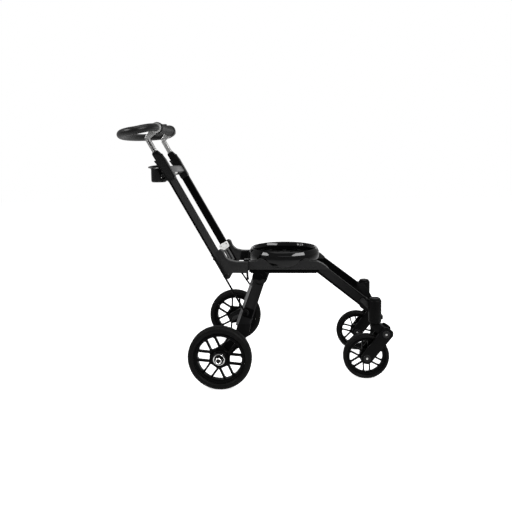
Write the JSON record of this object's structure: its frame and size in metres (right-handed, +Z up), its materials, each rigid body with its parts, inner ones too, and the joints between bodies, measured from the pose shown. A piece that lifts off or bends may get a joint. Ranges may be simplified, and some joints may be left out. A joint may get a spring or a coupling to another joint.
{
  "type": "stroller frame",
  "caption": "Folding stroller frame with a round seat hub, a splayed rear axle, sprung swivel casters, a telescoping handle with a leather loop, and a cup holder.",
  "frame": {"origin": "centre of the frame's bounding box in plan, on the ground under the wheels", "axes": "+X forwards, to the casters; +Y to the stroller's left; +Z up"},
  "size_m": [1.119, 0.6548, 1.0443],
  "materials": {
    "gloss_black_plastic": "gloss",
    "matte_black_plastic": "matt",
    "satin_black_paint": "satin",
    "steel": "bright",
    "grey_plastic": "satin",
    "silver_metal": "bright satin",
    "black_leather": "satin grain",
    "smooth_black_plastic": "satin",
    "tyre_rubber": "matt",
    "rim_plastic": "satin",
    "hub_cap_metal": "bright"
  },
  "bodies": {
    "chassis": {"hub_ring": "gloss_black_plastic", "hub_liner": "matte_black_plastic", "front_brace": "satin_black_paint", "side_beam_left": "satin_black_paint", "side_beam_right": "satin_black_paint", "front_leg_left": "satin_black_paint", "front_leg_right": "satin_black_paint", "elbow_left": "satin_black_paint", "elbow_right": "satin_black_paint", "fold_pin_left": "steel", "fold_pin_right": "steel", "hub_clamp_left": "satin_black_paint", "hub_clamp_right": "satin_black_paint", "caster_housing_left": "matte_black_plastic", "caster_housing_right": "matte_black_plastic", "rear_knuckle_left": "gloss_black_plastic", "rear_knuckle_right": "gloss_black_plastic"},
    "handle": {"leg_crossbar": "grey_plastic", "cup_holder": "matte_black_plastic", "handle_leg_left": "satin_black_paint", "handle_leg_right": "satin_black_paint", "leg_sleeve_left": "matte_black_plastic", "leg_sleeve_right": "matte_black_plastic", "leg_latch_left": "silver_metal", "leg_latch_right": "silver_metal"},
    "grip": {"grip_loop": "black_leather", "grip_bar": "smooth_black_plastic", "strut_left": "silver_metal", "strut_right": "silver_metal"},
    "rear_legs": {"rear_cross_tube": "satin_black_paint", "rear_leg_left": "satin_black_paint", "rear_leg_right": "satin_black_paint", "axle_block_left": "matte_black_plastic", "axle_block_right": "matte_black_plastic"},
    "brake": {"brake_pedal": "smooth_black_plastic"},
    "release_left": {"fold_release_left": "matte_black_plastic"},
    "adjust_left": {"adjust_lever_left": "matte_black_plastic"},
    "rod_left": {"link_rod_left": "satin_black_paint"},
    "rear_wheel_left": {"rear_tyre_left": "tyre_rubber", "rear_rim_left": "rim_plastic", "hub_cap_left": "hub_cap_metal"},
    "caster_left": {"caster_stem_left": "matte_black_plastic"},
    "lock_left": {"swivel_lock_left": "smooth_black_plastic"},
    "arm_left": {"caster_arm_left": "matte_black_plastic"},
    "front_wheel_left": {"front_tyre_left": "tyre_rubber", "front_rim_left": "rim_plastic"},
    "release_right": {"fold_release_right": "matte_black_plastic"},
    "adjust_right": {"adjust_lever_right": "matte_black_plastic"},
    "rod_right": {"link_rod_right": "satin_black_paint"},
    "rear_wheel_right": {"rear_tyre_right": "tyre_rubber", "rear_rim_right": "rim_plastic", "hub_cap_right": "hub_cap_metal"},
    "caster_right": {"caster_stem_right": "matte_black_plastic"},
    "lock_right": {"swivel_lock_right": "smooth_black_plastic"},
    "arm_right": {"caster_arm_right": "matte_black_plastic"},
    "front_wheel_right": {"front_tyre_right": "tyre_rubber", "front_rim_right": "rim_plastic"}
  },
  "joints": [
    {"name": "handle_fold", "type": "hinge", "parent": "chassis", "child": "handle", "pos_m": [-0.10391, 0, 0.419], "axis": [0, -1, 0], "range_deg": [0, 80]},
    {"name": "rear_leg_fold", "type": "hinge", "parent": "chassis", "child": "rear_legs", "pos_m": [0.02909, 0, 0.408], "axis": [0, -1, 0], "range_deg": [0, 26.6]},
    {"name": "grip_slide", "type": "slide", "parent": "handle", "child": "grip", "axis": [-0.4856, 0, 0.8742], "range_m": [-0.05, 0.05]},
    {"name": "brake_press", "type": "hinge", "parent": "rear_legs", "child": "brake", "pos_m": [-0.04291, 0, 0.205], "axis": [0, -1, 0], "range_deg": [0, 14]},
    {"name": "rod_left_pivot", "type": "hinge", "parent": "handle", "child": "rod_left", "pos_m": [-0.15426, 0.14655, 0.48597], "axis": [0, -1, 0], "range_deg": [-50.5, 1]},
    {"name": "release_left_pull", "type": "hinge", "parent": "chassis", "child": "release_left", "pos_m": [-0.02291, 0.1205, 0.423], "axis": [0, 1, 0], "range_deg": [0, 15], "stiffness_Nm_per_rad": 0.3, "springref_deg": -5.73},
    {"name": "adjust_left_squeeze", "type": "hinge", "parent": "handle", "child": "adjust_left", "pos_m": [-0.36993, 0.132, 0.86035], "axis": [0, 1, 0], "range_deg": [0, 4], "stiffness_Nm_per_rad": 0.4, "springref_deg": -5.73},
    {"name": "rear_wheel_left_spin", "type": "hinge", "parent": "rear_legs", "child": "rear_wheel_left", "pos_m": [-0.12091, 0.2846, 0.125], "axis": [0, 1, 0], "continuous": true},
    {"name": "caster_left_swivel", "type": "hinge", "parent": "chassis", "child": "caster_left", "pos_m": [0.49059, 0.1615, 0.232], "axis": [0, 0, 1], "continuous": true},
    {"name": "lock_left_slide", "type": "slide", "parent": "chassis", "child": "lock_left", "axis": [0, 0, 1], "range_m": [0, 0.008]},
    {"name": "arm_left_spring", "type": "hinge", "parent": "caster_left", "child": "arm_left", "pos_m": [0.53129, 0.1615, 0.1909], "axis": [0, 1, 0], "range_deg": [0, 8], "stiffness_Nm_per_rad": 60, "springref_deg": -5.73},
    {"name": "front_wheel_left_spin", "type": "hinge", "parent": "arm_left", "child": "front_wheel_left", "pos_m": [0.45609, 0.1615, 0.092], "axis": [0, 1, 0], "continuous": true},
    {"name": "rod_right_pivot", "type": "hinge", "parent": "handle", "child": "rod_right", "pos_m": [-0.15426, -0.14655, 0.48597], "axis": [0, -1, 0], "range_deg": [-50.5, 1]},
    {"name": "release_right_pull", "type": "hinge", "parent": "chassis", "child": "release_right", "pos_m": [-0.02291, -0.1205, 0.423], "axis": [0, 1, 0], "range_deg": [0, 15], "stiffness_Nm_per_rad": 0.3, "springref_deg": -5.73},
    {"name": "adjust_right_squeeze", "type": "hinge", "parent": "handle", "child": "adjust_right", "pos_m": [-0.36993, -0.132, 0.86035], "axis": [0, 1, 0], "range_deg": [0, 4], "stiffness_Nm_per_rad": 0.4, "springref_deg": -5.73},
    {"name": "rear_wheel_right_spin", "type": "hinge", "parent": "rear_legs", "child": "rear_wheel_right", "pos_m": [-0.12091, -0.2846, 0.125], "axis": [0, 1, 0], "continuous": true},
    {"name": "caster_right_swivel", "type": "hinge", "parent": "chassis", "child": "caster_right", "pos_m": [0.49059, -0.1615, 0.232], "axis": [0, 0, 1], "continuous": true},
    {"name": "lock_right_slide", "type": "slide", "parent": "chassis", "child": "lock_right", "axis": [0, 0, 1], "range_m": [0, 0.008]},
    {"name": "arm_right_spring", "type": "hinge", "parent": "caster_right", "child": "arm_right", "pos_m": [0.53129, -0.1615, 0.1909], "axis": [0, 1, 0], "range_deg": [0, 8], "stiffness_Nm_per_rad": 60, "springref_deg": -5.73},
    {"name": "front_wheel_right_spin", "type": "hinge", "parent": "arm_right", "child": "front_wheel_right", "pos_m": [0.45609, -0.1615, 0.092], "axis": [0, 1, 0], "continuous": true}
  ],
  "couplings": [
    {"joint": "rear_leg_fold", "follows": "handle_fold", "ratio": 0.3304},
    {"joint": "rod_left_pivot", "follows": "handle_fold", "ratio": -0.619},
    {"joint": "rod_right_pivot", "follows": "handle_fold", "ratio": -0.619}
  ]
}
